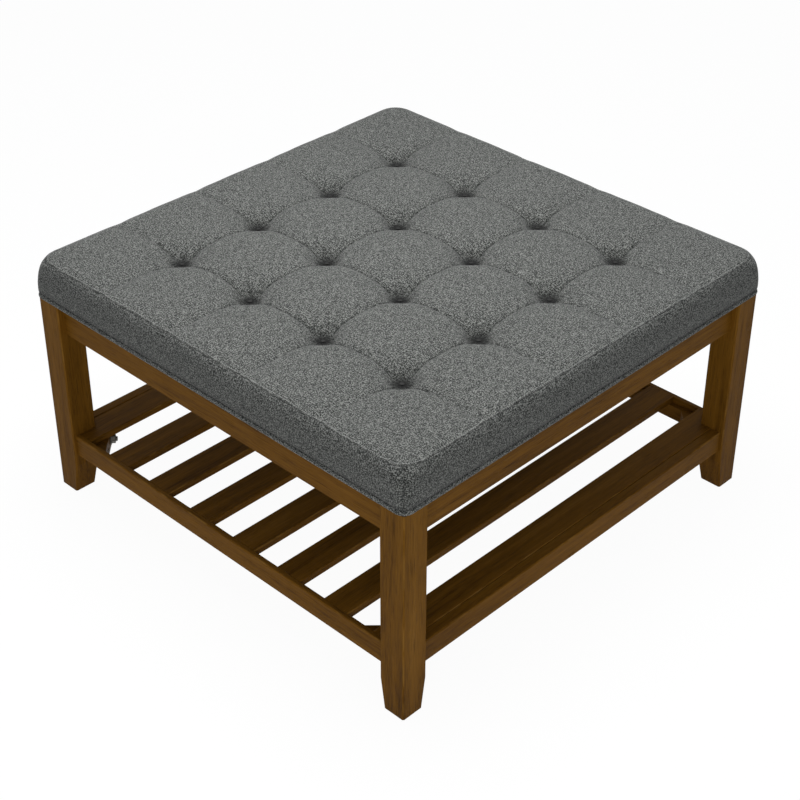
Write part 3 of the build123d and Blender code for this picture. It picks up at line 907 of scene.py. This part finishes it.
def piping(cloth):
    """The covered cord along the seat's lower edge, its cloth cut on the bias."""
    radius = (welt_high.z - welt_low.z) / 2
    middle_height = (welt_high.z + welt_low.z) / 2
    line, run, total = ring_outline(welt_high.x - radius, low_corner_radius)
    ahead = np.roll(line, -1, 0) - np.roll(line, 1, 0)
    ahead /= np.hypot(*ahead.T)[:, None]
    outward = np.column_stack([ahead[:, 1], -ahead[:, 0]])
    count = len(line)
    rows = []
    for side in range(piping_sides):
        angle = 2 * pi * side / piping_sides
        level = np.full(count, middle_height + radius * sin(angle))
        rows.append(np.column_stack([line + outward * (radius * cos(angle)), level]))
    points = np.concatenate(rows)
    made = piece("piping", points, tube_faces(piping_sides, count), cloth)

    # The cloth's threads lie slantwise to the cord
    side_width = 2 * pi * radius / piping_sides
    ends = np.append(run, total)
    places = []
    for side in range(piping_sides):
        for start, end in zip(ends, ends[1:]):
            for u, step in ((start, side), (end, side), (end, side + 1), (start, side + 1)):
                v = step * side_width
                places.append(((u + v) * bias, (u - v) * bias))
    set_cloth_place(made, places)
    set_painted_shade(made, np.zeros(len(points)))
    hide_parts("seat_welt")
    return made


# Inside and under the seat

foam_points, foam_corner_radius = 61, 0.0255
foam_side_gap, foam_top_gap, foam_base_gap = 0.0003, 0.0005, 0.0003
foam_pit_depth, foam_pit_reach = 0.004, 0.012
foam_edge_press = 0.0022


def foam_core(material):
    """The foam slab under the panel, its upper edge pressed in and its top sunk at each cord."""
    half = foam_high.x - foam_side_gap
    steps = np.linspace(-half, half, foam_points)
    x, y = np.meshgrid(steps, steps)
    from_pit = np.hypot(crease_gap(x), crease_gap(y))
    pit = foam_pit_depth * np.exp(-(from_pit / foam_pit_reach) ** 2)
    x, y = (part.ravel() for part in rounded(x, y, half, foam_corner_radius))
    pressed = 1 - foam_edge_press / half
    top = np.column_stack([x * pressed, y * pressed, (foam_high.z - foam_top_gap - pit).ravel()])
    under = np.column_stack([x, y, np.full(len(x), foam_low.z + foam_base_gap)])
    faces = grid_faces(foam_points, foam_points)
    faces += [tuple(index + len(top) for index in reversed(face)) for face in faces]
    rim = np.array(rim_indices(foam_points))
    near = np.roll(rim, -1)
    faces += zip(rim, rim + len(top), near + len(top), near)
    points = np.concatenate([top, under])
    made = piece("foam_core", points, faces, material, False)
    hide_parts("seat_foam")
    return made


hem_width, hem_edge = 0.014, 0.004
hem_bend, hem_bend_inset = 0.0012, 0.0003
lining_thickness = 0.0006
lining_shares = (0.25, 0.5, 0.75, 0.92)
long_side_steps, corner_cut_steps = 24, 6

# How much the dust cover's corners are cut off, read from its solid
cover_places = [vertex.co for vertex in nodes["dust_cover"].data.vertices]
right_side = [place.y for place in cover_places if abs(place.x - cover_high.x) < 1e-5]
corner_cut = cover_high.x - max(right_side)


def cover_ring(inset, share, height):
    """Points round the dust cover's octagon, drawn in by an inset and then to a share of that."""
    side = cover_high.x - inset
    reach = side - corner_cut + inset * (2 - sqrt(2))
    corners = [(side, -reach), (side, reach), (reach, side), (-reach, side),
               (-side, reach), (-side, -reach), (-reach, -side), (reach, -side)]
    corners = [(x * share, y * share) for x, y in corners]
    ring = []
    for index, ((x0, y0), (x1, y1)) in enumerate(zip(corners, corners[1:] + corners[:1])):
        steps = corner_cut_steps if index % 2 else long_side_steps
        ring += [(x0 + (x1 - x0) * step / steps, y0 + (y1 - y0) * step / steps, height)
                 for step in range(steps)]
    return ring


def dust_sheet(material):
    """The lining under the seat, stretched flat, its hem folded up and in under the board."""
    low, high = cover_low.z + lining_thickness / 2, board_low.z - lining_thickness
    rings = [cover_ring(0.0, share, low) for share in lining_shares]
    hem = [
        (hem_edge, low), (hem_bend, low), (hem_bend_inset, low + hem_bend),
        (hem_bend_inset, high - hem_bend), (hem_bend, high), (hem_edge, high), (hem_width, high),
    ]
    rings += [cover_ring(inset, 1.0, height) for inset, height in hem]
    count = len(rings[0])
    points = np.vstack(rings + [[0.0, 0.0, low]])
    faces = [tuple(reversed(face)) for face in grid_faces(len(rings), count, wrap=True)]
    faces += [(index, (index + 1) % count, len(points) - 1) for index in range(count)]
    made = piece("dust_sheet", points, faces, material)
    solid = made.modifiers.new("thickness", "SOLIDIFY")
    solid.thickness = lining_thickness
    solid.offset = 0
    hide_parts("dust_cover")
    return made


# Surroundings

# The camera, fitted to the photograph's straight edges
picture_side = 800
camera_place = (1.59982, -1.64174, 1.72992)
camera_azimuth, camera_elevation, camera_roll = 44.21, 33.06, 0.14
focal_pixels = 1716.22
centre_of_view_row = 360
sensor_width = 36.0

world_strength = 0.31
floor_reach = 12.0
floor_glow, floor_glow_share = 1.04, 0.92
lamp_aim = Vector((0.0, 0.0, 0.3))
white = colour(1, 1, 1)


def camera():
    data = bpy.data.cameras.new("camera")
    data.sensor_width = sensor_width
    data.lens = focal_pixels / picture_side * sensor_width
    data.shift_y = (centre_of_view_row - picture_side / 2) / picture_side
    data.clip_start, data.clip_end = 0.05, 50
    made = in_scene("camera", data)
    azimuth, elevation = radians(camera_azimuth), radians(camera_elevation)
    back = Vector((sin(azimuth) * cos(elevation), -cos(azimuth) * cos(elevation), sin(elevation)))
    roll = Matrix.Rotation(radians(camera_roll), 3, "Z")
    turn = (-back).to_track_quat("-Z", "Y").to_matrix() @ roll
    made.matrix_world = Matrix.Translation(camera_place) @ turn.to_4x4()
    bpy.context.scene.camera = made


def studio():
    """An even world, white where it is seen."""
    s = Shader("studio", bpy.data.worlds.new("studio"))
    inputs = {"Color": colour(0.95, 0.98, 1.0), "Strength": world_strength}
    even = s.node("ShaderNodeBackground", None, inputs)
    plain = s.node("ShaderNodeBackground", None, {"Color": white, "Strength": 1.0})
    both = s.blend(s.seen_directly(), even, plain)
    bpy.context.scene.world = s.show(both, "ShaderNodeOutputWorld")


def floor():
    """A wide pale floor that keeps shadows, white where it is seen and clear from below."""
    s = Shader("studio_floor")
    diffuse = s.node("ShaderNodeBsdfDiffuse", None, {"Color": colour(0.80, 0.80, 0.80)})
    glow = s.node("ShaderNodeEmission", None, {"Color": white, "Strength": floor_glow})
    both = s.blend(s.seen_directly() * floor_glow_share, diffuse, glow)
    from_below = s.node("ShaderNodeNewGeometry", output="Backfacing")
    one_sided = s.blend(from_below, both, s.node("ShaderNodeBsdfTransparent"))
    far = floor_reach
    mesh = bpy.data.meshes.new("floor")
    corners = [(-far, -far, 0), (far, -far, 0), (far, far, 0), (-far, far, 0)]
    mesh.from_pydata(corners, [], [(0, 1, 2, 3)])
    mesh.materials.append(s.show(one_sided))
    in_scene("floor", mesh)


def lamp(name, place, width, power, tint):
    """A soft square lamp, turned to the table."""
    data = bpy.data.lights.new(name, "AREA")
    data.shape = "SQUARE"
    data.size = width
    data.energy = power
    data.color = tint
    turn = (lamp_aim - Vector(place)).to_track_quat("-Z", "Y").to_matrix()
    in_scene(name, data).matrix_world = Matrix.Translation(place) @ turn.to_4x4()


bpy.context.scene.view_settings.view_transform = "Standard"
camera()
studio()
floor()
lamp("overhead", (-0.02, -0.06, 1.8), width=0.9, power=17.8, tint=(1.0, 1.0, 1.0))
lamp("front_fill", (1.8, -2.0, 0.8), width=1.6, power=14.5, tint=(1.0, 0.99, 0.97))
paint_frame()
cloth = tweed()
panel, panel_grid = tufted_panel(cloth)
seat_pieces = [
    panel,
    topstitching(panel_grid, seam_thread()),
    screw_recess_shadows(recess_shadow()),
    boxing(cloth),
    piping(cloth),
    foam_core(open_foam()),
    dust_sheet(lining()),
]
for made in seat_pieces:
    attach(made, "root")
